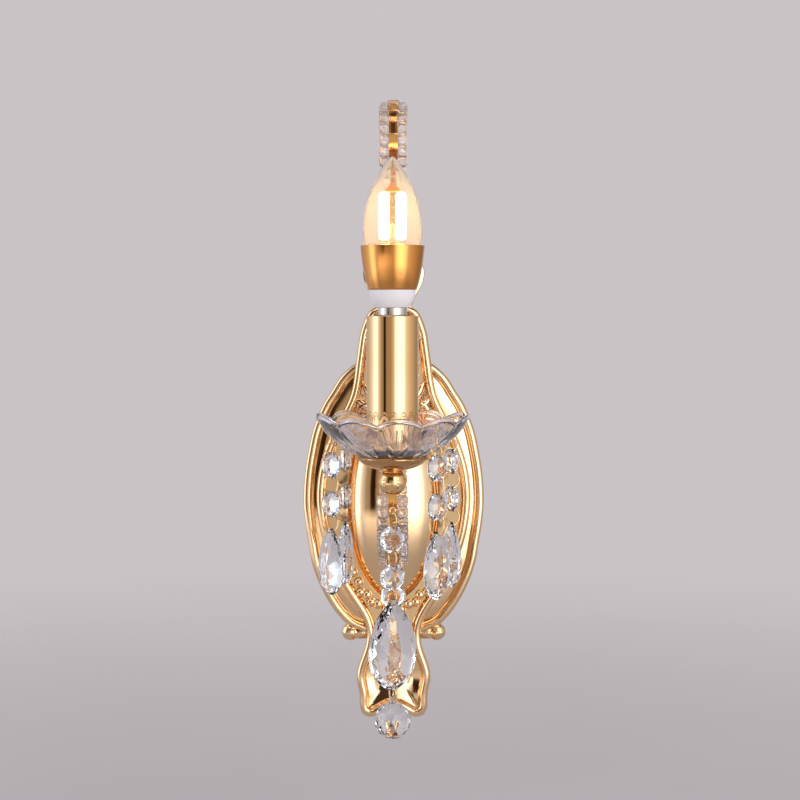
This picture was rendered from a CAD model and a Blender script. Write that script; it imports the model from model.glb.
import bpy
import bmesh
from math import atan2, copysign, cos, hypot, pi, radians, sin
from mathutils import Matrix, Vector
from mathutils.geometry import delaunay_2d_cdt


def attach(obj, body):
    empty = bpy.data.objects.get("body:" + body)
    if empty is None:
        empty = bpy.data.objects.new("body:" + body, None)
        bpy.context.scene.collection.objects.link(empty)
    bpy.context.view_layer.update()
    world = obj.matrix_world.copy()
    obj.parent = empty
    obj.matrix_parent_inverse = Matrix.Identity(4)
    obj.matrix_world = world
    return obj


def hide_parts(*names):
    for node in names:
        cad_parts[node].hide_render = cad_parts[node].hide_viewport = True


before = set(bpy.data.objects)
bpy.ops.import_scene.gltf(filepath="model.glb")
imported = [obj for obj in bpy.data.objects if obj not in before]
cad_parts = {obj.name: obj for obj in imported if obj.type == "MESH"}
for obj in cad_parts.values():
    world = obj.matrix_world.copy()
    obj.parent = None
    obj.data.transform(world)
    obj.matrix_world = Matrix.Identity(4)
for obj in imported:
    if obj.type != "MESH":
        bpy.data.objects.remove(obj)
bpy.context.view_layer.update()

# Crystal wall sconce, dressed. Lengths are in millimetres until a piece is finished.
# The wall is the plane Y = 0, the room is on the -Y side, +Z is up.

CANDLE = Vector((0, -150, 0))        # the upright axis of ball, dish, candle tube and bulb
SCONCE = "sconce"
BACKDROP = "#C9C3C5"
LAMP_LEVEL = 3.4

# for each side chain: place round the dish and the way its crystals face, in degrees from the front
CHAINS = {"a": (-70.0, -49.0), "b": (-131.5, -92.0), "c": (41.8, 48.0), "d": (113.8, 114.0)}


# ---- materials ----

def shade(hex_colour, alpha=1.0):
    """sRGB hex to linear."""
    parts = [int(hex_colour[i:i + 2], 16) / 255 for i in (1, 3, 5)]
    return tuple(c / 12.92 if c <= 0.04045 else ((c + 0.055) / 1.055) ** 2.4 for c in parts) + (alpha,)


def fill(tree, node, inputs):
    """Set a node's inputs, or link them to a socket or to another node's first output."""
    for name, value in inputs.items():
        if isinstance(value, bpy.types.Node):
            value = value.outputs[0]
        if isinstance(value, bpy.types.NodeSocket):
            tree.links.new(value, node.inputs[name])
        else:
            node.inputs[name].default_value = value


def add(tree, kind, inputs=None, **settings):
    """Add a shader node with its settings, and fill its inputs."""
    node = tree.nodes.new("ShaderNode" + kind)
    for name, value in settings.items():
        setattr(node, name, value)
    fill(tree, node, inputs or {})
    return node


def ramp(tree, factor, stops):
    node = add(tree, "ValToRGB", {"Fac": factor})
    while len(node.color_ramp.elements) < len(stops):
        node.color_ramp.elements.new(0.5)
    for element, (place, colour) in zip(node.color_ramp.elements, stops):
        element.position = place
        element.color = colour
    return node.outputs["Color"]


def grey(value):
    return (value, value, value, 1)


def blank(name):
    material = bpy.data.materials.new(name)
    material.use_nodes = True
    tree = material.node_tree
    tree.nodes.clear()
    shader = add(tree, "BsdfPrincipled")
    add(tree, "OutputMaterial", {"Surface": shader})
    place = add(tree, "TexCoord").outputs["Object"]
    return material, tree, shader, place


def plated(name, deep, bright, roughness, haze, ripple=0.05):
    """Mirror-polished plate. Slow colour drift, faint polishing haze in patches about 12 mm across and
    the soft unevenness of the casting under it, about 9 mm from wave to wave."""
    material, tree, shader, place = blank(name)
    drift = add(tree, "TexNoise", {"Vector": place, "Scale": 45.0, "Detail": 3.0})
    mix = add(tree, "Mix", {"Factor": drift, "A": shade(deep), "B": shade(bright)},
              data_type="RGBA")
    smear = add(tree, "TexNoise", {"Vector": place, "Scale": 80.0, "Detail": 5.0, "Roughness": 0.6})
    rough = add(tree, "MapRange", {"Value": smear, "From Min": 0.35, "From Max": 0.75,
                                             "To Min": roughness, "To Max": roughness + haze})
    wave = add(tree, "TexNoise", {"Vector": place, "Scale": 110.0, "Detail": 1.0})
    bump = add(tree, "Bump", {"Height": wave, "Strength": ripple, "Distance": 0.001})
    fill(tree, shader, {"Metallic": 1.0, "Base Color": mix.outputs["Result"],
                        "Roughness": rough, "Normal": bump})
    return material


def clear(name, tint, ior, roughness, streak_scale, streak, veil=0.0):
    """Clear pressed or cut glass. The streaks are the flow marks that bend what is seen through it, and the
    veil is the share of light that fine scratches and bubbles scatter."""
    material, tree, shader, place = blank(name)
    flow = add(tree, "TexNoise", {"Vector": place, "Scale": streak_scale, "Detail": 2.0})
    bump = add(tree, "Bump", {"Height": flow, "Strength": streak, "Distance": 0.001})
    dust = add(tree, "TexNoise", {"Vector": place, "Scale": 900.0, "Detail": 2.0})
    rough = add(tree, "MapRange", {"Value": dust, "From Min": 0.55, "From Max": 0.8,
                                             "To Min": roughness, "To Max": roughness + 0.04})
    fill(tree, shader, {"Base Color": shade(tint), "IOR": ior, "Transmission Weight": 1.0 - veil,
                        "Roughness": rough, "Normal": bump})
    return material


def moulded(name, colour, roughness, grain_mm, depth):
    """Moulded plastic or rubber: fine grain from the tool, and a slight drift of gloss."""
    material, tree, shader, place = blank(name)
    grain = add(tree, "TexNoise", {"Vector": place, "Scale": 1000.0 / grain_mm, "Detail": 2.0})
    bump = add(tree, "Bump", {"Height": grain, "Strength": depth, "Distance": 0.0002})
    gloss = add(tree, "TexNoise", {"Vector": place, "Scale": 60.0, "Detail": 3.0})
    rough = add(tree, "MapRange", {"Value": gloss, "To Min": roughness - 0.05,
                                             "To Max": roughness + 0.08})
    light, dark = shade(colour), tuple(0.9 * c for c in shade(colour)[:3]) + (1,)
    mix = add(tree, "Mix", {"Factor": gloss, "A": light, "B": dark}, data_type="RGBA")
    fill(tree, shader, {"Base Color": mix.outputs["Result"], "Roughness": rough,
                        "Normal": bump})
    return material


def turned_metal(name, colour, roughness, line_mm):
    """Machined metal with fine lines from the lathe or the roll, running round or across Z."""
    material, tree, shader, place = blank(name)
    stretch = add(tree, "Mapping", {"Vector": place, "Scale": (40.0, 40.0, 1000.0 / line_mm)})
    lines = add(tree, "TexNoise", {"Vector": stretch, "Scale": 1.0, "Detail": 4.0})
    bump = add(tree, "Bump", {"Height": lines, "Strength": 0.15, "Distance": 0.0002})
    rough = add(tree, "MapRange", {"Value": lines, "To Min": roughness - 0.06,
                                             "To Max": roughness + 0.08})
    fill(tree, shader, {"Metallic": 1.0, "Base Color": shade(colour),
                        "Roughness": rough, "Normal": bump})
    return material


def glowing(name, colour, strength):
    """Phosphor-coated strands, brighter in bands where the coating is thin."""
    material, tree, shader, place = blank(name)
    bands = add(tree, "TexNoise", {"Vector": place, "Scale": 700.0, "Detail": 1.0})
    tint = ramp(tree, bands, [(0.3, shade(colour)), (0.7, shade("#FFF3C8"))])
    fill(tree, shader, {"Base Color": tint, "Emission Color": tint, "Emission Strength": strength,
                        "Roughness": 0.5})
    return material


# zinc casting, polished and plated pale champagne gold: mirror with a warm body colour
plate_gold = plated("plated_cast_zinc_pale_gold", "#E8C190", "#F2D0A6", 0.04, 0.05, 0.05)
# spun and drawn brass parts, plated a little deeper
tube_gold = plated("plated_brass_warm_gold", "#E5BA84", "#EFC997", 0.035, 0.04, 0.012)
# stamped band of the arm, deeper orange gold in its shadowed channel
band_gold = plated("plated_steel_band_gold", "#DDA55C", "#E8B878", 0.08, 0.06, 0.05)
# the spun cup: the same plate where less polishing leaves it browner
cup_gold = plated("plated_brass_brown_gold", "#B98D5C", "#C99D6C", 0.05, 0.04, 0.02)
# gold anodised aluminium heat sink of the bulb: satin mirror, orange gold
collar_gold = plated("gold_anodised_aluminium", "#CE8C48", "#D99B58", 0.09, 0.04, 0.01)
# lead crystal, cut and polished: sharp facets that throw the room back and forth
crystal = clear("cut_lead_crystal", "#FBFAFC", 1.56, 0.0, 30.0, 0.0)
# pressed soda glass beads and dish: softer edges, slight flow marks
bead_glass = clear("pressed_soda_glass_beads", "#FFF8F6", 1.5, 0.0, 260.0, 0.08, 0.16)
dish_glass = clear("pressed_soda_glass_dish", "#FCF8FA", 1.5, 0.0, 90.0, 0.04, 0.04)
# thin blown envelope: the low index keeps what stands behind it straight
blown_glass = clear("blown_bulb_glass", "#FFF6EA", 1.12, 0.0, 60.0, 0.02, 0.07)
# phosphor on the strands: an even warm glow, and the fired ceramic that carries them
filament_glow = glowing("phosphor_filament", "#FFC870", 16.0)
bridge_orange = moulded("fired_ceramic_orange", "#D9892F", 0.4, 0.8, 0.2)
# polycarbonate, smooth from the tool: soft white gloss
skirt_white = moulded("moulded_polycarbonate_white", "#E9E5E9", 0.32, 0.6, 0.15)
# nickel plate over a rolled cap: cool mirror with fine lines
cap_nickel = turned_metal("nickel_plated_brass_cap", "#D8D5CE", 0.16, 0.4)
# fused black glass: deep black with a hard gloss
insulator_black = moulded("fused_glass_black", "#15151A", 0.18, 1.5, 0.1)
# zinc-plated steel and bare brass of the hidden parts: satin, with drawing and turning lines
zinc_steel = turned_metal("zinc_plated_steel", "#B9BDC2", 0.3, 0.5)
plain_brass = turned_metal("turned_plain_brass", "#D6B25E", 0.24, 0.4)
# thermoset, nylon and silicone: dull moulded surfaces with a fine grain
holder_cream = moulded("moulded_thermoset_cream", "#E4DDD0", 0.45, 0.5, 0.25)
terminal_white = moulded("moulded_nylon_white", "#E9E8E2", 0.5, 0.5, 0.25)
lead_brown = moulded("extruded_silicone_brown", "#5A3A26", 0.55, 0.8, 0.3)


# ---- helpers that finish a piece ----

def face_the_room(shape):
    """Turn each open shell of a shape so that its broad side faces away from the wall."""
    left = set(shape.faces)
    while left:
        start = left.pop()
        shell, edge_of_search = [start], [start]
        while edge_of_search:
            near = {f for e in edge_of_search.pop().edges for f in e.link_faces} & left
            left -= near
            shell += near
            edge_of_search += near
        if sum(f.normal.y * f.calc_area() for f in shell) > 0:
            bmesh.ops.reverse_faces(shape, faces=shell)


def finish_piece(shape, name, body, material, nodes, sharp, open_back=False):
    """Scale to metres, point the faces outwards, crease the edges sharper than
    `sharp` degrees, and hand over."""
    bmesh.ops.remove_doubles(shape, verts=shape.verts[:], dist=0.0005)
    bmesh.ops.recalc_face_normals(shape, faces=shape.faces[:])
    if open_back:
        face_the_room(shape)
    bmesh.ops.scale(shape, vec=(0.001, 0.001, 0.001), verts=shape.verts[:])
    limit = radians(sharp)
    for face in shape.faces:
        face.smooth = True
    for edge in shape.edges:
        edge.smooth = len(edge.link_faces) == 2 and edge.calc_face_angle(0.0) < limit
    mesh = bpy.data.meshes.new(name)
    shape.to_mesh(mesh)
    shape.free()
    piece = bpy.data.objects.new(name, mesh)
    bpy.context.scene.collection.objects.link(piece)
    mesh.materials.append(material)
    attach(piece, body)
    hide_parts(*nodes)
    return piece


def dressed(shape, node, body, material, sharp):
    """Hand over a piece that stands for one CAD node."""
    finish_piece(shape, node + "_dressed", body, material, [node], sharp)


def merged(shape, other):
    """Add another bmesh to this one."""
    mesh = bpy.data.meshes.new("joined")
    other.to_mesh(mesh)
    other.free()
    shape.from_mesh(mesh)
    bpy.data.meshes.remove(mesh)


def move(shape, spot):
    bmesh.ops.translate(shape, vec=spot, verts=shape.verts[:])


def add_ball(shape, spot, radius):
    ball = bmesh.new()
    bmesh.ops.create_icosphere(ball, subdivisions=3, radius=radius)
    move(ball, spot)
    merged(shape, ball)


def add_egg(shape, spot, size, around, rows):
    egg = bmesh.new()
    bmesh.ops.create_uvsphere(egg, u_segments=around, v_segments=rows, radius=1.0)
    bmesh.ops.scale(egg, vec=size, verts=egg.verts[:])
    move(egg, spot)
    merged(shape, egg)


def arc(x, z, radius, degrees):
    """Points round (x, z), one for each of the given degrees."""
    return [(x + radius * cos(a), z + radius * sin(a)) for a in map(radians, degrees)]


def curve(points, per_span=6):
    """Smooth curve through points, as plain pairs."""
    return [(p[0], p[1]) for p in between(points, per_span)]


def turn_all(shape, degrees, axis):
    matrix = Matrix.Rotation(radians(degrees), 3, axis)
    bmesh.ops.rotate(shape, cent=(0, 0, 0), matrix=matrix, verts=shape.verts[:])


def between(points, per_span=6, closed=False):
    """Smooth curve through points, a few steps to each span."""
    count = len(points)
    spans = count if closed else count - 1
    path = []
    for i in range(spans):
        if closed:
            p = [Vector(points[(i + k) % count]) for k in (-1, 0, 1, 2)]
        else:
            p = [Vector(points[min(max(i + k, 0), count - 1)]) for k in (-1, 0, 1, 2)]
        for step in range(per_span):
            t = step / per_span
            path.append(0.5 * (2 * p[1] + (p[2] - p[0]) * t
                               + (2 * p[0] - 5 * p[1] + 4 * p[2] - p[3]) * t * t
                               + (3 * p[1] - p[0] - 3 * p[2] + p[3]) * t ** 3))
    if not closed:
        path.append(Vector(points[-1]))
    return path


def turned(profile, steps=96, centre=CANDLE, closed=True):
    """Turn a profile of (radius, height) round an upright axis."""
    shape = bmesh.new()
    verts = [shape.verts.new((max(r, 0.0), 0, z)) for r, z in profile]
    edges = [shape.edges.new(pair) for pair in zip(verts, verts[1:])]
    if closed:
        edges.append(shape.edges.new((verts[-1], verts[0])))
    bmesh.ops.spin(shape, geom=verts + edges, cent=(0, 0, 0), axis=(0, 0, 1), dvec=(0, 0, 0),
                   angle=2 * pi, steps=steps, use_merge=True, use_duplicate=False)
    bmesh.ops.remove_doubles(shape, verts=shape.verts[:], dist=0.0005)
    bmesh.ops.dissolve_degenerate(shape, edges=shape.edges[:], dist=0.0001)
    move(shape, centre)
    return shape


def rounded(corners, radius=0.4, steps=4):
    """Profile with each corner rounded off."""
    count = len(corners)
    path = []
    for i in range(count):
        here = Vector(corners[i])
        before, after = Vector(corners[i - 1]) - here, Vector(corners[(i + 1) % count]) - here
        reach = min(radius, before.length * 0.45, after.length * 0.45)
        if here.x < 0.01:
            path.append(here)
            continue
        start, end = here + before.normalized() * reach, here + after.normalized() * reach
        # one more point beside the arc on a long side keeps that side's shading straight
        if before.length > 6 * reach:
            path.append(start + before.normalized() * 0.8 * reach)
        for k in range(steps + 1):
            t = k / steps
            path.append(start * (1 - t) ** 2 + here * 2 * t * (1 - t) + end * t * t)
        if after.length > 6 * reach:
            path.append(end + after.normalized() * 0.8 * reach)
    return path


def round_wire(points, radius, closed=False, sides=10):
    """Wire of one thickness along points, in a bmesh."""
    shape = bmesh.new()
    count = len(points)
    rings = []
    up = None
    for i, point in enumerate(points):
        point = Vector(point)
        after = Vector(points[(i + 1) % count] if closed or i + 1 < count else points[i])
        before = Vector(points[i - 1] if closed or i else points[i])
        along = (after - before).normalized()
        if up is None:
            up = along.orthogonal().normalized()
        up = (up - along * up.dot(along)).normalized()
        side = along.cross(up)
        ring = [shape.verts.new(point + radius * (up * cos(a) + side * sin(a)))
                for a in (2 * pi * k / sides for k in range(sides))]
        rings.append([shape.edges.new((ring[k], ring[k - 1])) for k in range(sides)])
    pairs = list(zip(rings, rings[1:]))
    if closed:
        pairs.append((rings[-1], rings[0]))
    for first, second in pairs:
        bmesh.ops.bridge_loops(shape, edges=first + second)
    if not closed:
        for ring in (rings[0], rings[-1]):
            bmesh.ops.contextual_create(shape, geom=ring)
    return shape


def hang(shape, turn, spot):
    """Turn a piece made facing the front to its own direction, and move it to its place."""
    turn_all(shape, turn, "Z")
    move(shape, spot)
    return shape


def facing(angle):
    return Vector((sin(radians(angle)), -cos(radians(angle)), 0))


# ---- back plate ----

FRAME_LINE = [(0, 87), (13, 85.6), (24, 80.6), (32.6, 73), (38.8, 63.5), (44.6, 54), (50, 40), (52.8, 28),
              (55.0, 15), (56.08, 3), (56.17, -8), (55.0, -20), (53.2, -31), (51.4, -42), (48.4, -52),
              (44.2, -61.5), (39.4, -70), (33.8, -77.5), (26.5, -84), (13, -88.8), (0, -90)]
SHIELD_LINE = [(0, 117), (8, 116.5), (13.9, 114.2), (17.0, 110), (19.0, 105), (20.8, 99), (22.1, 90),
               (23.5, 80), (24.8, 70), (27.3, 60), (32.5, 49), (39, 37), (45, 20), (47.6, 4), (47.4, -10),
               (44.8, -26), (40, -41), (34, -54), (28, -64), (22.6, -72), (18.8, -79), (17.0, -86),
               (17.3, -93), (19.2, -99.5), (21.4, -105.5), (22.8, -111), (23.0, -116), (22.2, -120.5),
               (21.3, -125), (21.2, -130), (20.9, -134.5), (18.8, -138.4), (15.2, -139.8), (11.2, -139),
               (6.2, -136), (0, -133.6)]
CROWN_LINE = [(0, 152), (8, 150.5), (15, 146), (19, 138.5), (17.8, 130), (13.5, 122), (10.5, 116), (0, 112)]

STRAP_WIDTH, FIELD_HEIGHT = 6.1, 12.1
TAIL_SPLIT, BOWL_TOP, BOWL_FOOT, BOWL_DEEP = -86.6, -88.0, 127.4, 7.0
BOWL_INSET = 6.2                     # outline to the edge of the hollow
PATCH_ROWS = 36                      # strips of the hollowed patch
DOME_HALF_WIDTH, DOME_HALF_HEIGHT, DOME_MIDDLE, DOME_FOOT, DOME_RISE = 27.2, 59.5, -5.0, 9.6, 15.4
MOAT = ((1.4, FIELD_HEIGHT), (1.1, 11.0), (0.6, 10.2), (0.2, 9.8))     # (outside the dome, off the wall)


def mirrored(line):
    return [(x, z) for x, z in line] + [(-x, z) for x, z in reversed(line[1:-1])]


def even_loop(points, count=240):
    """Closed loop of (x, z) points, spaced evenly from its first point."""
    closed = [Vector(p) for p in points] + [Vector(points[0])]
    spans = [(q - p).length for p, q in zip(closed, closed[1:])]
    step, loop, reached, k = sum(spans) / count, [], 0.0, 0
    for i in range(count):
        while reached + spans[k] < i * step - 1e-9:
            reached += spans[k]
            k += 1
        loop.append(closed[k].lerp(closed[k + 1], (i * step - reached) / spans[k]))
    return loop


def plate_loop(line, per_span=8, count=240):
    """Even loop of a half outline with its mirror image."""
    return even_loop([(p.x, p.y) for p in between(mirrored(line), per_span, closed=True)], count)


def pulled_in(loop, depth):
    """The loop moved inwards. Points that end up too near another stretch of it are left out."""
    if depth <= 0:
        return loop
    sides = [(a, b - a, (b - a).length_squared) for a, b in zip(loop, loop[1:] + loop[:1])]
    kept = []
    for i, point in enumerate(loop):
        along = (loop[(i + 1) % len(loop)] - loop[i - 1]).normalized()
        moved = point + depth * Vector((along.y, -along.x))
        if all((moved - a - d * min(max((moved - a).dot(d) / size, 0.0), 1.0)).length > 0.985 * depth
               for a, d, size in sides):
            kept.append(moved)
    return even_loop(kept, len(loop))


def loop_at(shape, loop, height):
    """Ring of vertices and edges at a distance in front of the wall."""
    ring = [shape.verts.new((p[0], -height, p[1])) for p in loop]
    return [shape.edges.new((ring[k], ring[k - 1])) for k in range(len(ring))]


def skin(shape, rings):
    for first, second in zip(rings, rings[1:]):
        bmesh.ops.bridge_loops(shape, edges=first + second)


def half_round(start, width, low, high, steps=7):
    """Profile steps of a rounded rib: from its outer foot over the top to its inner foot."""
    steps_out = []
    for k in range(1, steps + 1):
        angle = pi * k / steps
        steps_out.append((start + width * (1 - cos(angle)) / 2, low + (high - low) * sin(angle)))
    return steps_out


def drop_shape(length, width, thick, bend=0.0):
    """Leaf: a ball drawn out to a point at its far end."""
    shape = bmesh.new()
    bmesh.ops.create_uvsphere(shape, u_segments=16, v_segments=10, radius=1.0)
    for vert in shape.verts:
        t = (vert.co.z + 1) / 2
        taper = (1 - t) ** 0.35 if t < 1 else 0
        across = vert.co.x * width / 2 * taper + bend * t * t
        vert.co = Vector((across, vert.co.y * thick * (1 - 0.5 * t), t * length))
    return shape


def placed(shape, x, y, z, turn):
    """Turn a relief in the wall's plane, degrees clockwise from up, and set it at a height off the wall."""
    turn_all(shape, turn, "Y")
    move(shape, (x, -y, z))
    return shape


def strap_inside(z):
    """Half width between the strap's inner edges in the tail, from the nearest span of the outline."""
    spans = []
    for (x1, z1), (x2, z2) in zip(SHIELD_LINE, SHIELD_LINE[1:]):
        if z1 != z2 and min(x1, x2) > 15:
            spans.append((abs(z1 - z) + abs(z2 - z), x1 + (x2 - x1) * (z - z1) / (z2 - z1)))
    return min(spans)[1] - BOWL_INSET


def tail_bowl(x, z):
    """Depth of the four-sided hollow in the plate's tail: gentle beside the strap, then steeper."""
    if z > BOWL_TOP or z < SHIELD_LINE[-3][1]:
        return 0.0
    inward = strap_inside(z) - abs(x)
    side = 0.33 * inward if inward < 4.5 else 1.5 + 0.8 * (inward - 4.5)
    upward = z + BOWL_FOOT + 5.4 * min(abs(x) / 13.5, 1.0) ** 1.5
    return max(min(side, 0.38 * upward, 0.5 * (BOWL_TOP - z), BOWL_DEEP), 0.0)


def oval(share, wider=0.0):
    """Outline of the dome at a share of its full size, or some millimetres wider than that."""
    half_width, half_height = DOME_HALF_WIDTH * share + wider, DOME_HALF_HEIGHT * share + wider
    return [Vector((half_width * cos(a), DOME_MIDDLE + half_height * sin(a)))
            for a in (pi / 2 - 2 * pi * k / 240 for k in range(240))]


def fill_field(shape, edge, foot, height):
    """The field between the strap's inner edge and the dome's foot: a hollowed patch in the tail and a
    flat part with an oval hole above it."""
    low = [i for i, p in enumerate(edge) if p.y < TAIL_SPLIT]
    tail = edge[low[0]:low[-1] + 1]
    across = [tail[0].lerp(tail[-1], i / (len(tail) - 1)) for i in range(len(tail))]
    for row in range(PATCH_ROWS):
        lines = []
        for t in (row / PATCH_ROWS, (row + 1) / PATCH_ROWS):
            part = [p.lerp(q, t) for p, q in zip(tail, across)]
            lines.append([shape.verts.new((p.x, tail_bowl(p.x, p.y) - height, p.y)) for p in part])
        for i in range(len(tail) - 1):
            shape.faces.new((lines[0][i], lines[0][i + 1], lines[1][i + 1], lines[1][i]))
    outer = edge[:low[0]] + across + edge[low[-1] + 1:]
    count = len(outer)
    rims = [(i, (i + 1) % count) for i in range(count)]
    rims += [(count + i, count + (i + 1) % len(foot)) for i in range(len(foot))]
    spots, _, faces, *_ = delaunay_2d_cdt(outer + foot, rims, [list(range(count))], 1, 1e-6)
    verts = [shape.verts.new((p.x, -height, p.y)) for p in spots]
    reach_x, reach_z = foot[len(foot) // 4].x, foot[0].y - DOME_MIDDLE
    for face in faces:
        middle = sum((spots[i] for i in face), Vector((0, 0))) / len(face)
        if (middle.x / reach_x) ** 2 + ((middle.y - DOME_MIDDLE) / reach_z) ** 2 > 1.0:
            shape.faces.new([verts[i] for i in face])


def make_plate_skin():
    """Cast shell: moulded oval frame, and the violin-shaped inner field with its strap and smooth dome."""
    shape = bmesh.new()
    frame_loop = plate_loop(FRAME_LINE)
    # rounded lip, a fine deep groove, and a cushion that rises gently towards the inner field
    steps = [(0.0, 0.0), (0.0, 4.0), (0.1, 8.2), (0.3, 9.6), (0.8, 10.6), (1.6, 11.2), (2.5, 11.45),
             (3.4, 11.4), (4.1, 11.1), (4.5, 10.3), (4.7, 8.6), (5.0, 7.5), (5.4, 7.3), (6.2, 7.5),
             (7.6, 8.0), (9.8, 8.65), (11.8, 9.0), (13.8, 9.1)]
    skin(shape, [loop_at(shape, pulled_in(frame_loop, inset), height) for inset, height in steps])

    field_loop = plate_loop(SHIELD_LINE)
    # where the field stands on the frame its foot is higher than where it reaches past it to the wall
    inside = [sum(1 for a, b in zip(frame_loop, frame_loop[1:] + frame_loop[:1])
                  if (a.y > p.y) != (b.y > p.y) and p.x < a.x + (p.y - a.y) / (b.y - a.y) * (b.x - a.x)) % 2
              for p in field_loop]
    base = [shape.verts.new((p.x, -5.4 if held else 0.0, p.y)) for p, held in zip(field_loop, inside)]
    rings = [[shape.edges.new((base[k], base[k - 1])) for k in range(len(base))]]
    steps = [(0.0, 12.4), (0.15, 13.6)] + half_round(0.2, 5.0, 13.8, 16.5, 9) + [(5.5, 12.9)]
    rings += [loop_at(shape, pulled_in(field_loop, inset), height) for inset, height in steps]
    edge = pulled_in(field_loop, STRAP_WIDTH)
    rings.append(loop_at(shape, edge, FIELD_HEIGHT))
    skin(shape, rings)
    fill_field(shape, edge, oval(1.0, MOAT[0][0]), FIELD_HEIGHT)
    # a narrow moat, then the dome
    rings = [loop_at(shape, oval(1.0, wider), height) for wider, height in MOAT]
    for k in range(1, 31):
        a = pi / 2 * k / 31
        rings.append(loop_at(shape, oval(cos(a)), DOME_FOOT + DOME_RISE * sin(a)))
    skin(shape, rings)
    bmesh.ops.contextual_create(shape, geom=rings[-1])

    crown = plate_loop(CROWN_LINE, 6, 120)
    rings = [loop_at(shape, pulled_in(crown, inset), height)
             for inset, height in ((0.0, 0.0), (0.0, 3.6), (0.5, 4.6), (1.6, 5.0))]
    skin(shape, rings)
    bmesh.ops.contextual_create(shape, geom=rings[-1])
    piece = finish_piece(shape, "back_plate_casting", SCONCE, plate_gold, ["back_plate"], 40,
                         open_back=True)
    wall = piece.modifiers.new("wall", "SOLIDIFY")
    wall.thickness, wall.offset = 0.0022, -1.0


def make_plate_relief():
    """Ornament on the casting: pearls, leaves, fluted crown, knobs on the neck and curled ears."""
    whole = bmesh.new()
    pearls = [(25.2, -49.0), (21.6, -55.0), (20.6, -61.4), (16.4, -63.0), (14.0, -67.6), (9.6, -68.8),
              (4.6, -72.2)]
    for x, z in pearls + [(-x, z) for x, z in pearls] + [(0, -72.6)]:
        add_ball(whole, (x, -12.6, z), 3.0)
    for side in (-1, 1):
        for x, z, turn, length, width in ((14, 46, 70, 13, 7.0), (14, 51, 42, 14, 6.8), (13, 57, 20, 15, 6.4),
                                          (12, 66, 8, 17, 5.8), (12, 79, 4, 16, 5.0)):
            leaf = drop_shape(length, width, 3.4, side * 1.5)
            merged(whole, placed(leaf, side * x, 12.2, z, side * turn))
        curl = [(side * (15.0 + r * cos(a)), -13.6, 51.0 + r * sin(a))
                for a, r in ((0.35 * k, 6.4 - 0.32 * k) for k in range(18))]
        merged(whole, round_wire(curl, 1.3, sides=8))
        add_ball(whole, (side * 17.6, -14.4, 96.6), 2.0)
    for k in range(-4, 5):
        flute = bmesh.new()
        bmesh.ops.create_uvsphere(flute, u_segments=16, v_segments=12, radius=1.0)
        reach = 37.5 - 2.2 * abs(k)
        for vert in flute.verts:
            t = (vert.co.z + 1) / 2
            thin, deep = 1.2 + 2.0 * t, 2.0 + 2.2 * t
            vert.co = Vector((vert.co.x * thin, vert.co.y * deep, 3 + t * (reach - 3)))
        merged(whole, placed(flute, 0, 5.4, 113.0, 7.6 * k))
    # flat pad on the dome, where the arm's collar sits
    side_view = [(0, 17.0), (PAD_RADIUS, 17.0), (PAD_RADIUS, 24.95), (0, 24.95)]
    pad = turned(rounded(side_view, 0.5), 64, Vector((0, 0, 0)))
    turn_all(pad, 90, "X")
    move(pad, (0, 0, BOSS_HEIGHT))
    merged(whole, pad)
    add_egg(whole, (0, -5.5, 116), (9.5, 5.5, 6.5), 24, 16)
    for side in (-1, 1):
        for x, z, size in ((27.0, -87.2, (5.5, 5.0, 5.5)), (20.5, -87.6, (9.0, 4.2, 4.2))):
            add_egg(whole, (side * x, -6.4, z), size, 20, 14)
        curl = [(side * (25.8 + r * cos(a)), -10.8, -87.2 + 0.62 * r * sin(a))
                for a, r in ((0.42 * n, 3.6 - 0.17 * n) for n in range(17))]
        merged(whole, round_wire(curl, 0.75, sides=8))
    finish_piece(whole, "back_plate_ornament", SCONCE, plate_gold, ["back_plate"], 40)


# ---- arm ----

BAND_WIDTH, BAND_DEPTH, STRIP_WIDTH, STRIP_DEPTH, BEAD = 4.7, 8.5, 6.4, 8.0, 6.5
ARM_TOP, LEAD_IN, SHOULDER, SHOULDER_TURN = 16.0, 2.5, 22.0, 38.0
ARM_LOW, ARM_FLAT, REAR_BEND, BOSS_RUN = -29.5, 8.0, 44.0, 16.0
LEAN, LEAN_BEND, CROOK_BEND, CROOK_HEIGHT, CROOK_TURN = 6.0, 120.0, 18.5, 216.4, 244.0
BOSS_HEIGHT = ARM_LOW + REAR_BEND + BOSS_RUN / 2
PAD_RADIUS = 9.0


def arm_moves():
    """Straight runs and bends of the arm's middle line, from under the ball to the rolled tip."""
    first, lean = radians(SHOULDER_TURN), radians(LEAN)
    front = (ARM_TOP - LEAD_IN - SHOULDER * sin(first) - ARM_LOW) / (1 - sin(first))
    low = ARM_LOW + REAR_BEND + BOSS_RUN + LEAN_BEND * sin(lean)
    stem = (CROOK_HEIGHT - CROOK_BEND * sin(lean) - low) / cos(lean)
    return [(LEAD_IN, 0), (SHOULDER, SHOULDER_TURN), (front, 90 - SHOULDER_TURN), (ARM_FLAT, 0),
            (REAR_BEND, 90), (BOSS_RUN, 0), (LEAN_BEND, -LEAN), (stem, 0), (CROOK_BEND, CROOK_TURN)]


ARM_MOVES = arm_moves()
ARM_LENGTH = sum(size if turn == 0 else size * radians(abs(turn)) for size, turn in ARM_MOVES)


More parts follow.
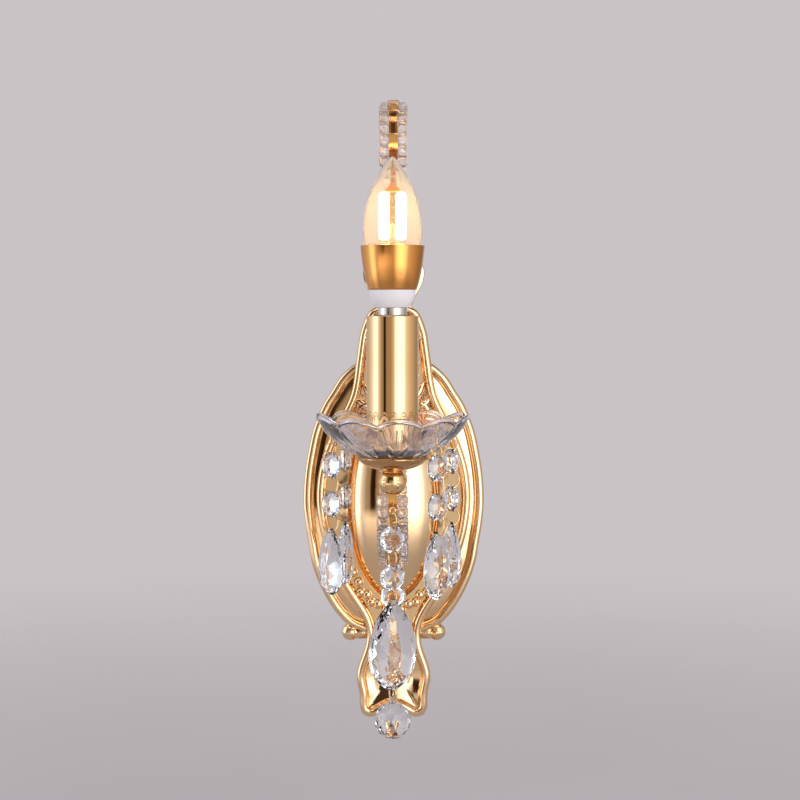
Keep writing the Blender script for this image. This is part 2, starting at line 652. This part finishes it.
def on_arm(distance):
    """Place, direction and outward side of the arm's middle line at a distance from its upper front end."""
    place, heading, left = Vector((0, CANDLE.y, ARM_TOP)), radians(-90), distance
    for size, turn in ARM_MOVES:
        length = size if turn == 0 else size * radians(abs(turn))
        part = min(left, length) / length
        across = Vector((0, -sin(heading), cos(heading)))
        if turn == 0:
            place = place + Vector((0, cos(heading), sin(heading))) * size * part
        else:
            centre = place + across * copysign(size, turn)
            swing = radians(turn) * part
            place = centre + Matrix.Rotation(swing, 3, "X") @ (place - centre)
            heading += swing
        left -= length
        if left <= 0:
            break
    along = Vector((0, cos(heading), sin(heading)))
    return place, along, Vector((0, -along.z, along.y))


def drawn_along(stations, outline):
    """Loft rings along the arm. outline(k) gives the ring's (sideways, outward) points at station k."""
    shape = bmesh.new()
    rings = []
    for k, distance in enumerate(stations):
        place, along, across = on_arm(distance)
        ring = [shape.verts.new(place + Vector((x, 0, 0)) + across * n) for x, n in outline(k)]
        rings.append([shape.edges.new((ring[i], ring[i - 1])) for i in range(len(ring))])
    for first, second in zip(rings, rings[1:]):
        bmesh.ops.bridge_loops(shape, edges=first + second)
    for ring in (rings[0], rings[-1]):
        bmesh.ops.contextual_create(shape, geom=ring)
    return shape


def make_arm_band():
    """Channel-shaped band: its face is slightly hollow between two raised edges."""
    half, deep = BAND_WIDTH / 2, BAND_DEPTH / 2
    ring = [(-half, -deep), (-half + 0.5, -deep), (-half + 0.8, -deep + 0.5), (half - 0.8, -deep + 0.5),
            (half - 0.5, -deep), (half, -deep), (half, deep), (half - 0.5, deep), (half - 0.8, deep - 0.5),
            (-half + 0.8, deep - 0.5), (-half + 0.5, deep), (-half, deep)]
    count = 260
    stations = [ARM_LENGTH * k / count for k in range(count + 1)]
    band = drawn_along(stations, lambda k: ring)
    dressed(band, "arm_band", SCONCE, band_gold, 30)


def bead_stations():
    """Bead count, bead length and the stations of the strips."""
    start = LEAD_IN / 2
    count = round((ARM_LENGTH - start) / BEAD)
    pitch = (ARM_LENGTH - start) / count
    return start, count, pitch


def make_arm_glass(side, name):
    """Strip of pressed beads: each is a rounded lozenge with a groove to the next."""
    start, count, pitch = bead_stations()
    steps = [0.0, 0.06, 0.16, 0.32, 0.5, 0.68, 0.84, 0.94]
    sizes = [0.46, 0.68, 0.86, 0.97, 1.0, 0.97, 0.86, 0.68]
    stations = [start + pitch * (bead + step) for bead in range(count) for step in steps] + [ARM_LENGTH]
    scale = [size for bead in range(count) for size in sizes] + [0.46]
    centre = side * (BAND_WIDTH + STRIP_WIDTH) / 2

    def ring(k):
        points = []
        for i in range(12):
            a = 2 * pi * (i + 0.5) / 12
            c, s = cos(a), sin(a)
            x = copysign(abs(c) ** 0.85, c) * STRIP_WIDTH / 2 * (0.2 + 0.8 * scale[k])
            n = copysign(abs(s) ** 0.85, s) * STRIP_DEPTH / 2 * scale[k]
            points.append((centre + x, n))
        return points

    strip = drawn_along(stations, ring)
    dressed(strip, name, SCONCE, bead_glass, 24)


def make_binding_wire():
    """One turn of wire in every groove, over band and strips."""
    start, count, pitch = bead_stations()
    whole = bmesh.new()
    half, full, deep = BAND_WIDTH / 2, BAND_WIDTH / 2 + STRIP_WIDTH, BAND_DEPTH / 2
    for bead in range(1, count):
        place, _, across = on_arm(start + pitch * bead)
        low = STRIP_DEPTH / 2 * 0.46 + 0.4
        right = [(half + 0.4, deep + 0.12), (half + 1.6, low), (full - 2.4, low), (full - 1.5, low - 0.8),
                 (full - 1.3, 0), (full - 1.5, 0.8 - low), (full - 2.4, -low), (half + 1.6, -low),
                 (half + 0.4, -deep - 0.12)]
        left = [(-x, n) for x, n in reversed(right)]
        loop = [place + Vector((x, 0, 0)) + across * n for x, n in right + left]
        merged(whole, round_wire(loop, 0.3, closed=True, sides=6))
    dressed(whole, "binding_wire", SCONCE, plate_gold, 60)


# ---- candle stack ----

def make_ball_coupling():
    profile = [(0, 14.5)] + arc(0, 22.2, 7.7, range(-84, 52, 5))
    profile += [(5.4, 28.0), (5.8, 28.3), (6.2, 28.4), (6.2, 28.6), (0, 28.6)]
    dressed(turned(profile, 96, closed=False), "ball_coupling", SCONCE, tube_gold, 30)


def make_saucer():
    """Spun cup with a rolled lip."""
    under = curve([(6.0, 28.6), (9.0, 28.9), (13.0, 30.2), (16.8, 32.4), (19.0, 34.6)])
    inside = curve([(18.0, 35.0), (16.2, 33.4), (13.0, 31.6), (9.0, 30.6), (6.0, 30.4)], 4)
    profile = under + arc(19.0, 35.2, 0.8, range(-60, 150, 20)) + inside
    column = rounded([(5.2, 30.0), (10.0, 30.0), (10.0, 36.0), (5.2, 36.0)], 0.3)
    whole = turned(profile, 120)
    merged(whole, turned(column, 64))
    dressed(whole, "saucer", SCONCE, cup_gold, 40)


def make_dish():
    """Pressed dish: ten hollowed petals with a rolled rim, and two slanting leaf cuts under each."""
    petals, turn0 = 10, radians(5.8)
    outside = curve([(17.0, 36.0), (20.5, 36.9), (25.5, 39.6), (31.0, 43.8), (35.8, 48.6), (39.2, 53.2),
                     (40.7, 56.2)], 8)
    lip = arc(40.7, 57.7, 1.15, range(-60, 230, 24))
    inside = curve([(38.9, 56.4), (36.4, 53.2), (32.4, 49.2), (27.6, 45.2), (22.4, 41.8), (16.0, 40.2)])
    profile = outside + lip + inside + [(5.4, 40.0), (5.4, 36.0)]
    dish = turned(profile, 360, centre=Vector((0, 0, 0)))
    for vert in dish.verts:
        x, y, z = vert.co
        r = hypot(x, y)
        if r < 16.5:
            continue
        share = ((atan2(x, -y) - turn0) * petals / (2 * pi) + 0.5) % 1.0 * 2 - 1
        rise = min(max((r - 24.0) / 17.0, 0.0), 1.0)
        outer = z < 36.0 + (r - 17.0) * 0.86 - 1.2
        bulge = 0.9 * rise * (1 - share ** 2) - 0.5 * rise * abs(share) ** 8
        if outer and 18.0 < r < 31.5:
            part = (r - 18.0) / 13.5
            off = (abs(share) - 0.30 - 0.30 * part) / (0.05 + 0.21 * sin(pi * part))
            bulge -= 2.1 * max(1 - off * off, 0.0)
        scale = 1 - 0.045 * rise ** 2 * share ** 2 + (bulge * 0.8 - 0.6 * rise) / max(r, 1)
        z = z - 4.2 * rise ** 2 * share ** 2 - bulge * 0.5 * (1 - rise)
        vert.co = Vector((x * scale, y * scale, z))
    move(dish, CANDLE)
    dressed(dish, "bobeche", SCONCE, dish_glass, 60)


def make_candle_tube():
    profile = rounded([(13.4, 40.0), (14.0, 40.0), (14.0, 111.4), (13.4, 111.4)], 0.2, 3)
    dressed(turned(profile, 128), "candle_tube", "candle_tube", tube_gold, 40)


def make_bulb():
    cap = [(5.8, 101.7), (6.95, 102.8), (6.95, 110.4), (6.5, 110.6), (6.5, 103.2), (5.6, 102.2)]
    whole = turned(rounded(cap, 0.2, 2), 96)
    thread = [(7.0 * cos(a), 7.0 * sin(a), 103.4 + 2.1 * a / (2 * pi)) for a in
              (2 * pi * k / 24 for k in range(70))]
    merged(whole, hang(round_wire(thread, 0.35, sides=6), 0, CANDLE))
    collar = [(6.5, 110.2), (7.3, 110.9), (7.8, 111.8), (7.8, 116.0), (6.8, 116.0), (6.8, 111.6)]
    collar = turned(rounded(collar, 0.3, 3), 96)
    for vert in collar.verts:
        # crimp dimples round the collar
        x, y = vert.co.x - CANDLE.x, vert.co.y - CANDLE.y
        r = hypot(x, y)
        dent = max(cos(12 * atan2(y, x)), 0) ** 6 * max(1 - abs(vert.co.z - 114.2) / 1.6, 0)
        if r > 7.2:
            vert.co.x -= x / r * 0.5 * dent
            vert.co.y -= y / r * 0.5 * dent
    merged(whole, collar)
    dressed(whole, "bulb_cap", "bulb", cap_nickel, 40)
    button = [(0, 99.1), (1.9, 99.1), (2.3, 99.7), (2.3, 100.2), (5.1, 102.0), (5.1, 102.7), (0, 102.7)]
    button = rounded(button, 0.3, 3)
    dressed(turned(button, 48), "bulb_contact", "bulb_lift", insulator_black, 40)
    side = [(9.15, 116.0), (10.6, 118.4), (11.9, 121.6), (12.75, 125.2)]
    skirt = [(7.6, 116.0)] + curve(side, 5) + [(12.75, 125.38), (11.2, 125.38), (7.6, 117.4)]
    dressed(turned(skirt, 96), "bulb_skirt", "bulb", skirt_white, 40)
    side = [(13.1, 125.55), (14.5, 130.4), (15.8, 136.6), (16.7, 142.8), (17.3, 148.6)]
    bell = [(11.2, 125.4), (12.9, 125.4)] + curve(side, 5)
    bell += [(17.3, 148.95), (17.0, 149.1), (16.2, 149.0), (15.9, 148.6), (14.2, 138.0), (11.2, 127.0)]
    dressed(turned(bell, 128), "bulb_collar", "bulb", collar_gold, 40)
    outer = curve([(15.0, 146.2), (15.9, 152.0), (16.0, 158.5), (15.3, 166.0), (13.6, 173.6), (10.8, 181.0),
                   (7.2, 187.6), (3.4, 193.2), (0.9, 196.2)])
    inner = curve([(0.6, 194.6), (3.0, 191.8), (6.6, 186.6), (10.1, 180.4), (12.9, 173.2), (14.6, 165.8),
                   (15.3, 158.4), (15.2, 152.0), (14.4, 147.0)])
    envelope = turned([(0, 194.9)] + inner + [(14.6, 146.2)] + outer + [(0, 196.5)], 96, closed=False)
    foot = [(0, 147.0), (11.0, 147.2), (10.6, 148.4), (4.0, 149.4), (2.4, 151.0), (1.8, 156.0),
            (1.7, 160.0), (0, 161.0)]
    merged(envelope, turned(rounded(foot, 0.5, 3), 48))
    dressed(envelope, "bulb_glass", "bulb", blown_glass, 50)
    strands = bmesh.new()
    for side in (-1, 1):
        strand = [(0, 151.9), (1.8, 152.2), (2.8, 153.4), (2.8, 175.8), (1.8, 177.2), (0, 177.6)]
        merged(strands, turned(strand, 24, CANDLE + Vector((side * 4.5, 0, 0)), closed=False))
    dressed(strands, "bulb_filaments", "bulb", filament_glow, 50)
    bridge = [(0, 177.7), (4.4, 177.7), (4.9, 178.2), (2.6, 179.8), (1.0, 182.6), (0, 182.8)]
    bridge = turned(bridge, 32, closed=False)
    for vert in bridge.verts:
        vert.co.y = CANDLE.y + (vert.co.y - CANDLE.y) * 0.45
    finish_piece(bridge, "bulb_filament_bridge", "bulb", bridge_orange, ["bulb_filaments"], 40)


# ---- crystals ----

def hull(points):
    """Cut crystal: the flat facets that close round the given corners."""
    shape = bmesh.new()
    verts = [shape.verts.new(p) for p in points]
    made = bmesh.ops.convex_hull(shape, input=verts)
    buried = [v for v in made["geom_interior"] if isinstance(v, bmesh.types.BMVert)]
    bmesh.ops.delete(shape, geom=buried, context="VERTS")
    bmesh.ops.dissolve_limit(shape, angle_limit=radians(1.0), verts=shape.verts[:], edges=shape.edges[:])
    return shape


def cut_octagon(height):
    """Octagon bead: eight-sided table, a ring of star facets and a belt."""
    points = []
    for side in (-1, 1):
        for i in range(8):
            a = radians(45 * i + 22.5)
            b = radians(45 * i)
            points.append((3.0 * sin(b), side * 3.5, height + 3.0 * cos(b)))
            points.append((5.6 * sin(a), side * 2.15, height + 5.6 * cos(a)))
            points.append((7.55 * sin(a), side * 0.5, height + 7.55 * cos(a)))
    return hull(points)


def cut_almond(top, length, width, thick):
    """Almond drop: two rows of kite facets round a long table on each face, and a thin belt."""
    # (share of the length, share of the half width), and for the facets a share of the half thickness
    belt = [(0.0, 0.09), (0.05, 0.25), (0.12, 0.48), (0.21, 0.69), (0.32, 0.85), (0.43, 0.94), (0.55, 1.0),
            (0.66, 0.98), (0.77, 0.90), (0.87, 0.71), (0.94, 0.49), (0.985, 0.26), (1.0, 0.12)]
    facets = [(0.12, 0.10, 0.44), (0.26, 0.36, 0.62), (0.40, 0.26, 0.86), (0.44, 0.62, 0.62),
              (0.60, 0.40, 0.97), (0.66, 0.74, 0.60), (0.80, 0.34, 0.86), (0.84, 0.56, 0.58),
              (0.93, 0.16, 0.52), (0.50, 0.0, 0.985), (0.70, 0.0, 0.985), (0.20, 0.0, 0.70),
              (0.90, 0.0, 0.68), (0.34, 0.0, 0.88)]
    points = []
    for t, w in belt:
        for side in (-1, 1):
            for face in (-1, 1):
                points.append((side * w * width / 2, face * 0.45, top - t * length))
    for t, w, d in facets:
        for side in (-1, 1):
            for face in (-1, 1):
                points.append((side * w * width / 2, face * d * thick / 2, top - t * length))
    return hull(points)


def cut_ball(centre, radius):
    """Faceted ball: rows of facets turned half a step from row to row, with a drilled knob."""
    points = []
    for row, latitude in enumerate((-90, -66, -42, -18, 8, 33, 58, 78)):
        count = 1 if latitude == -90 else 12
        for i in range(count):
            a = radians(360 / count * i + 15 * (row % 2))
            r = radius * cos(radians(latitude))
            z = centre + radius * sin(radians(latitude))
            points.append((r * sin(a), r * cos(a), z))
    return hull(points)


def wire_ring(radius, height, turn, spot):
    points = [(0, radius * cos(a), height + radius * sin(a))
              for a in (2 * pi * k / 48 for k in range(48))]
    return hang(round_wire(points, 0.45, closed=True, sides=10), turn, spot)


def crystal_piece(shape, node, body, turn, spot):
    dressed(hang(shape, turn, spot), node, body, crystal, 3)


def ring_piece(radius, height, node, body, turn, spot):
    ring = wire_ring(radius, height, turn, spot)
    dressed(ring, node, body, tube_gold, 60)


def make_side_chains():
    hooks = bmesh.new()
    for name, (place, turn) in CHAINS.items():
        spot = CANDLE + facing(place) * 35.0
        start = "chain_%s_" % name
        crystal_piece(cut_octagon(32.0), start + "octagon_1", start + "upper", turn, spot)
        ring_piece(4.9, 21.7, start + "ring_1", start + "middle", turn, spot)
        crystal_piece(cut_octagon(11.4), start + "octagon_2", start + "middle", turn, spot)
        ring_piece(4.9, 1.1, start + "ring_2", start + "lower", turn, spot)
        crystal_piece(cut_almond(-1.5, 36.0, 20.4, 9.6), start + "drop", start + "lower", turn, spot)
        hook = [(0, 0, 55.0), (0, 0, 50.0), (0, 0, 45.6)]
        hook += [(0, 3.4 * sin(a), 40.8 + 3.4 * cos(a))
                 for a in (2 * pi * k / 40 for k in range(38))]
        merged(hooks, hang(round_wire(hook, 0.42, sides=8), turn, spot))
        head = bmesh.new()
        bmesh.ops.create_icosphere(head, subdivisions=2, radius=1.3)
        move(head, (0, 0, 55.1))
        merged(hooks, hang(head, turn, spot))
    dressed(hooks, "chain_hooks", SCONCE, tube_gold, 60)


def make_centre_chain():
    spot, turn = Vector((0, -158.554, 0)), 26.0
    ring_piece(4.9, 2.3, "centre_ring_1", "centre_upper", turn, spot)
    crystal_piece(cut_octagon(-8.0), "centre_octagon_1", "centre_upper", turn, spot)
    ring_piece(4.9, -18.3, "centre_ring_2", "centre_middle", turn, spot)
    crystal_piece(cut_octagon(-28.6), "centre_octagon_2", "centre_middle", turn, spot)
    ring_piece(4.9, -38.9, "centre_ring_3", "centre_lower", turn, spot)
    crystal_piece(cut_almond(-41.5, 48.0, 28.2, 12.0), "centre_drop", "centre_lower", turn, spot)
    ring_piece(4.0, -91.2, "centre_ring_4", "centre_end", turn, spot)
    ball = cut_ball(-106.2, 10.0)
    knob = rounded([(0, -97.4), (2.2, -97.4), (2.2, -93.6), (0, -93.6)], 0.7, 3)
    knob = turned(knob, 24, Vector((0, 0, 0)))
    merged(ball, knob)
    crystal_piece(ball, "centre_ball", "centre_end", turn, spot)
    spot = Vector((0, -80.944, 0))
    ring_piece(4.9, -41.9, "arm_ring", "arm_crystal", 0, spot)
    crystal_piece(cut_octagon(-52.2), "arm_octagon", "arm_crystal", 0, spot)


# ---- CAD nodes that stay as they are ----

def dress_cad():
    finishes = {
        "mounting_bracket": (zinc_steel, "zinc_steel"), "bracket_studs": (zinc_steel, "zinc_steel"),
        "ball_nuts": (plate_gold, "pale_gold"), "terminal_block": (terminal_white, "terminal_plastic"),
        "supply_leads": (lead_brown, "lead_insulation"), "arm_pipe": (plain_brass, "raw_brass"),
        "arm_rosette": (plate_gold, "pale_gold"), "pipe_nuts": (plain_brass, "raw_brass"),
        "nipple": (plain_brass, "raw_brass"), "dish_washer": (plain_brass, "raw_brass"),
        "holder_body": (holder_cream, "holder_plastic"), "holder_shell": (plain_brass, "raw_brass"),
        "holder_contact": (plain_brass, "raw_brass"), "drop_eyelets": (tube_gold, "warm_gold"),
    }
    for node, (material, slot_name) in finishes.items():
        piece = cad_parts[node]
        piece.data.materials.clear()
        piece.data.materials.append(material)


# ---- studio ----

def studio():
    scene = bpy.context.scene
    scene.view_settings.view_transform = "Standard"

    # A soft white panel at the far left and one right of the camera, a warm dimmer room between them with a
    # narrow dark gap in it and again at the far right, a pale table below, a dark middle above, and the
    # backdrop behind it all.
    world = bpy.data.worlds.new("studio")
    scene.world = world
    world.use_nodes = True
    tree = world.node_tree
    tree.nodes.clear()

    def count(operation, first, second=0.0, clamp=False):
        return add(tree, "Math", {0: first, 1: second}, operation=operation, use_clamp=clamp).outputs[0]

    def span(value, start, end):
        return add(tree, "MapRange", {"Value": value, "From Min": start, "From Max": end}).outputs["Result"]

    axes = add(tree, "SeparateXYZ", {"Vector": add(tree, "TexCoord").outputs["Object"]})
    round_about = count("ARCTAN2", axes.outputs["X"], count("MULTIPLY", axes.outputs["Y"], -1.0))
    # brightness of the room by the direction round the object, in degrees from the camera, to the right
    rear = shade(BACKDROP)[:3]
    sides = [(-180, rear), (-142, rear), (-122, (0.82, 0.77, 0.74)), (-110, (0.95, 1.0, 1.1)),
             (-98, (1.1, 1.3, 1.6)), (-86, (2.4, 2.4, 2.7)), (-76, (2.6, 2.6, 2.8)), (-64, (1.0, 1.08, 1.25))]
    # the middle of the room: at eye level with its gap, down at the table, and above
    gap = [(-49, (0.46, 0.39, 0.31)), (-42, (0.42, 0.35, 0.27)), (-38, (0.04, 0.02, 0.01)),
           (-31, (0.03, 0.01, 0.0)), (-27, (0.42, 0.35, 0.27)), (-18, (0.46, 0.37, 0.28)),
           (-7, (0.50, 0.40, 0.31)), (6, (0.84, 0.86, 0.86)), (14, (2.0, 2.0, 2.1))]
    table = [(-48, (1.7, 1.6, 1.5)), (-30, (1.6, 1.5, 1.4)), (-12, (1.15, 1.02, 0.85)), (4, (0.9, 0.8, 0.68)),
             (14, (2.0, 2.0, 2.1))]
    right = [(21, (3.0, 3.0, 3.0)), (33, (3.4, 3.4, 3.4)), (46, (2.9, 2.9, 2.9)), (61, (1.1, 1.2, 1.4)),
             (78, (0.93, 0.82, 0.74)), (96, (0.72, 0.63, 0.55)), (118, (0.47, 0.42, 0.35)),
             (138, (0.36, 0.33, 0.30)), (158, rear), (180, rear)]
    above = [(-49, (0.50, 0.45, 0.38)), (-38, (0.06, 0.04, 0.03)), (4, (0.10, 0.07, 0.05)),
             (14, (2.0, 2.0, 2.1))]
    place = span(round_about, -pi, pi)
    level, low, high = (ramp(tree, place, [((a + 180) / 360, tuple(c / LAMP_LEVEL for c in colour) + (1,))
                                           for a, colour in sides + middle + right])
                        for middle in (gap, table, above))
    bands = add(tree, "Mix", {"Factor": span(axes.outputs["Z"], -0.15, -0.22), "A": level, "B": low},
                data_type="RGBA")
    bands = add(tree, "Mix", {"Factor": span(axes.outputs["Z"], 0.14, 0.26), "B": high,
                                        "A": bands.outputs["Result"]}, data_type="RGBA")
    levels = [(0.0, grey(0.4)), (0.26, grey(0.5)), (0.36, grey(1.0)), (0.8, grey(0.9)), (0.9, grey(0.3))]
    height = ramp(tree, span(axes.outputs["Z"], -1.0, 1.0), levels)
    lamps = add(tree, "Mix", {"Factor": 1.0, "A": bands.outputs["Result"], "B": height},
                data_type="RGBA", blend_type="MULTIPLY")
    # The camera sees the plain backdrop, and so do metal towards the rear and glass that is looked through.
    path = add(tree, "LightPath").outputs
    behind = count("MULTIPLY", path["Is Glossy Ray"], span(count("ABSOLUTE", round_about), 2.44, 2.76))
    straight = count("LESS_THAN", count("SUBTRACT", path["Ray Depth"], path["Transmission Depth"]), 0.5)
    through = count("MULTIPLY", path["Is Transmission Ray"], straight)
    plain = count("ADD", path["Is Camera Ray"], count("ADD", behind, through), clamp=True)
    lit = add(tree, "Background", {"Color": lamps.outputs["Result"], "Strength": LAMP_LEVEL})
    seen = add(tree, "Background", {"Color": shade(BACKDROP), "Strength": 1.0})
    both = add(tree, "MixShader", {0: plain, 1: lit.outputs[0], 2: seen.outputs[0]})
    add(tree, "OutputWorld", {"Surface": both.outputs[0]})

    lamp = bpy.data.objects.new("overhead", bpy.data.lights.new("overhead", "AREA"))
    lamp.data.size, lamp.data.energy = 0.8, 3.0
    lamp.location = (-0.35, -0.75, 1.3)
    lamp.rotation_euler = (Vector((0, -0.08, 0.05)) - lamp.location).to_track_quat("-Z", "Y").to_euler()
    scene.collection.objects.link(lamp)

    # round floor that fades into the backdrop
    ground = bmesh.new()
    bmesh.ops.create_circle(ground, cap_ends=True, segments=96, radius=2.2)
    move(ground, (0, 0, -0.32))
    mesh = bpy.data.meshes.new("floor")
    ground.to_mesh(mesh)
    ground.free()
    floor = bpy.data.objects.new("floor", mesh)
    scene.collection.objects.link(floor)
    material, tree, shader, place = blank("matt_painted_floor_pale")
    grain = add(tree, "TexNoise", {"Vector": place, "Scale": 3.0, "Detail": 3.0})
    tint = ramp(tree, grain, [(0.3, shade("#D6D0D2")), (0.7, shade("#DAD4D6"))])
    reach = add(tree, "VectorMath", {0: place}, operation="LENGTH")
    fade = add(tree, "MapRange", {"Value": reach.outputs["Value"], "From Min": 0.45, "From Max": 1.9,
                                            "To Min": 1.0, "To Max": 0.0}, interpolation_type="SMOOTHSTEP")
    fill(tree, shader, {"Base Color": tint, "Roughness": 0.9, "Alpha": fade})
    mesh.materials.append(material)

    camera = bpy.data.objects.new("camera", bpy.data.cameras.new("camera"))
    camera.data.lens = 77.9
    camera.data.sensor_width = 36.0
    camera.location = (0.004, -1.080, 0.120)
    camera.rotation_euler = (radians(90 - 3.31), 0, 0)
    scene.collection.objects.link(camera)
    scene.camera = camera


make_plate_skin()
make_plate_relief()
make_arm_band()
make_arm_glass(-1, "arm_glass_left")
make_arm_glass(1, "arm_glass_right")
make_binding_wire()
make_ball_coupling()
make_saucer()
make_dish()
make_candle_tube()
make_bulb()
make_side_chains()
make_centre_chain()
dress_cad()
studio()
